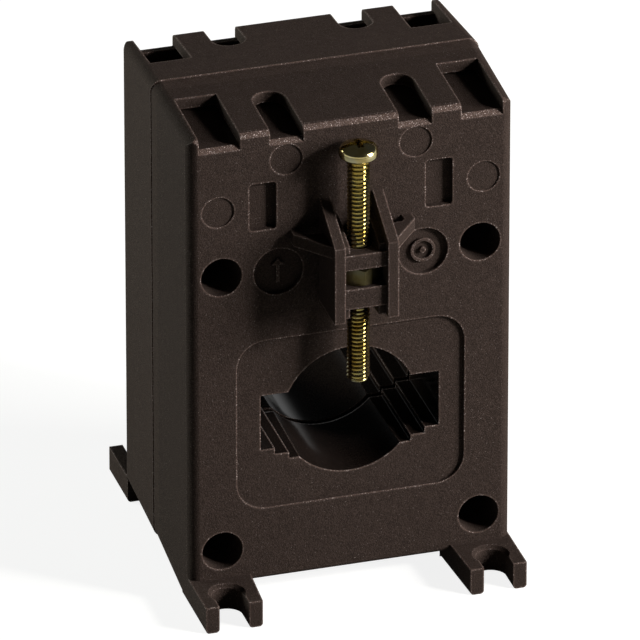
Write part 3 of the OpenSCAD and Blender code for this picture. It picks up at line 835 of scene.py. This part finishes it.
def pan_head(centre, look, radius, base):
    """Pan head with its flat underside at the height base."""
    crown = base + look["head_height"]
    dome = look["dome_radius"]
    dome_z = crown - dome
    reach = radius - HEAD_TOP_EDGE
    steep = 90.0 - math.degrees(math.asin(reach / dome))
    shoulder = dome_z + math.sqrt(dome ** 2 - reach ** 2) - HEAD_TOP_EDGE
    profile = [(0.0, base)]
    profile += arc(radius - HEAD_LOW_EDGE, base + HEAD_LOW_EDGE, HEAD_LOW_EDGE, -90.0, 0.0, LOW_ARC_STEPS)
    profile += arc(reach, shoulder, HEAD_TOP_EDGE, 0.0, steep, TOP_ARC_STEPS)
    profile += arc(0.0, dome_z, dome, steep, 90.0, TOP_ARC_STEPS)[1:-1]
    profile.append((0.0, crown))
    return lathe(centre, profile)


def driver_recess(centre, look, top):
    """Cutters of the recess: a slot along X and a cross."""
    slot = look["slot"]
    cross = look["cross"]
    past = top + CUT_PAST
    return [
        tapered_bar(centre, slot["length"], slot["width"], top - slot["depth"], past, slot["flare"]),
        tapered_bar(centre, cross["width"], cross["length"], top - cross["depth"], past, cross["flare"]),
        tapered_bar(centre, cross["length"], cross["width"], top - cross["depth"], past, cross["flare"]),
    ]


def driven_screw(node, material, look):
    """Threaded screw in place of a plain CAD one; look holds its head and thread sizes."""
    low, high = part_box(node)
    centre = (low + high) / 2.0
    base = high.z - look["head_height"]
    head = pan_head(centre, look, (high.x - low.x) / 2.0, base)
    bm = carve(head, driver_recess(centre, look, high.z))
    join(bm, thread(centre, look, low.z, base + SEAT))
    screw = link_mesh(node + "_detail", bm, material)
    smooth(screw, SCREW_SHARP)
    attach(screw, NODES[node]["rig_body"])
    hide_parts(node)


# Clamp nut


def hexagon_prism(centre, corner, bottom, top):
    """Upright prism with six sides, and with an edge at the front and one at the back."""
    bm = bmesh.new()
    rings = []
    for z in (bottom, top):
        # The circle starts at the back, because Y is its first coordinate
        points = circle_points(centre.y, centre.x, corner, 6)
        rings.append([bm.verts.new((x, y, z)) for y, x in points])
    lower, upper = rings
    bm.faces.new(lower)
    bm.faces.new(upper[::-1])
    bridge(bm, lower[::-1], upper[::-1])
    return bm


def corner_cutters(centre, face_radius, wide, bottom, top):
    """Rings that bevel the nut's corners, below and above."""
    rise = (wide - face_radius) * math.tan(math.radians(NUT_CHAMFER_ANGLE))
    past = bottom - CUT_PAST
    lower = [(wide, past), (face_radius, past), (face_radius, bottom), (wide, bottom + rise)]
    upper = [(radius, bottom + top - z) for radius, z in reversed(lower)]
    return [ring_cutter(centre, lower), ring_cutter(centre, upper)]


def sunk_bore(centre, bottom, top):
    """Cutter of the plain bore, with a countersink at both ends."""
    wide = NUT_HOLE_R + 2.0 * NUT_SINK
    below = bottom - NUT_SINK
    above = top + NUT_SINK
    narrow = [(NUT_HOLE_R, bottom + NUT_SINK), (NUT_HOLE_R, top - NUT_SINK)]
    return lathe(centre, [(0.0, below), (wide, below), *narrow, (wide, above), (0.0, above)])


def clamp_nut(material):
    """Hexagon nut with chamfered corners and a countersunk bore."""
    low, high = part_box("clamp_nut")
    centre = (low + high) / 2.0
    corner = (high.y - low.y) / 2.0
    flat = (high.x - low.x) / 2.0
    cutters = corner_cutters(centre, flat * NUT_FACE_SHARE, 2.0 * corner, low.z, high.z)
    cutters.append(sunk_bore(centre, low.z, high.z))
    bm = carve(hexagon_prism(centre, corner, low.z, high.z), cutters)
    nut = link_mesh("clamp_nut_detail", bm, material)
    smooth(nut, NUT_SHARP)
    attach(nut, NODES["clamp_nut"]["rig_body"])
    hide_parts("clamp_nut")


# Direction marks


def raised_wall(bm, points, grow):
    """Wall round a raised figure, whose top ring lies farther out by grow; gives that ring."""
    middle = Vector((sum(x for x, z in points), sum(z for x, z in points))) / len(points)
    root_y = FACE_Y + DISC_SINK + MARK_ROOT
    top_y = FACE_Y + DISC_SINK - MARK_HEIGHT
    rings = []
    for y, by in ((root_y, 0.0), (top_y + MARK_BEVEL, 0.0), (top_y, grow)):
        ring = []
        for point in points:
            away = Vector(point) - middle
            away = away + away.normalized() * by
            ring.append(bm.verts.new((middle.x + away.x, y, middle.y + away.y)))
        rings.append(ring)
    for lower, upper in zip(rings, rings[1:]):
        bridge(bm, lower, upper)
    return rings[-1]


def raised(bm, outline, hole=None):
    """Raised figure on the floor of a disc; outline and hole are lists of (x, z) seen from the front."""
    outer = raised_wall(bm, outline, -MARK_BEVEL)
    if hole is None:
        bm.faces.new(outer)
    else:
        bridge(bm, outer, raised_wall(bm, hole, MARK_BEVEL))


def arrow_points(x, z):
    """Outline of an arrow that points up, with its middle at (x, z)."""
    half = MARK_STROKE / 2.0
    neck = MARK_R - ARROW_HEAD
    right = [(half, -MARK_R), (half, neck), (ARROW_HEAD, neck)]
    left = [(-dx, dz) for dx, dz in reversed(right)]
    outline = [left[-1], *right, (0.0, MARK_R), *left[:-1]]
    return [(x + dx, z + dz) for dx, dz in outline]


def direction_marks(material):
    """Plain signs on the two discs: a ring with a dot on the right, an arrow on the left."""
    bm = bmesh.new()
    hole = circle_points(DISC_X, DISC_Z, MARK_R - MARK_STROKE, RING_STEPS)
    raised(bm, circle_points(DISC_X, DISC_Z, MARK_R, RING_STEPS), hole)
    raised(bm, circle_points(DISC_X, DISC_Z, MARK_STROKE, DOT_STEPS))
    raised(bm, arrow_points(-DISC_X, DISC_Z))
    bmesh.ops.recalc_face_normals(bm, faces=bm.faces)
    marks = link_mesh("direction_marks", bm, material)
    smooth(marks, MARK_SHARP)
    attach(marks, NODES["front_shell"]["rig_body"])


def main():
    """Camera, materials, the pieces drawn here, floor, world and lamps."""
    bpy.context.scene.view_settings.view_transform = "Standard"
    make_camera()
    materials = make_materials()
    slots = {row["node"]: row["material_slot"] for row in frame["record"]["subparts"]}
    for node, obj in NODES.items():
        paint(obj, materials[slots[node]])
    driven_screw("clamp_screw", materials[slots["clamp_screw"]], CLAMP_SCREW)
    for side in ("left", "right"):
        node = "terminal_screw_" + side
        driven_screw(node, materials[slots[node]], TERMINAL_SCREW)
    # The nut gets the plating darkened as painted shade
    clamp_nut(materials["dull " + slots["clamp_nut"]])
    direction_marks(materials[slots["front_shell"]])
    make_floor()
    make_world()
    make_lights()


main()
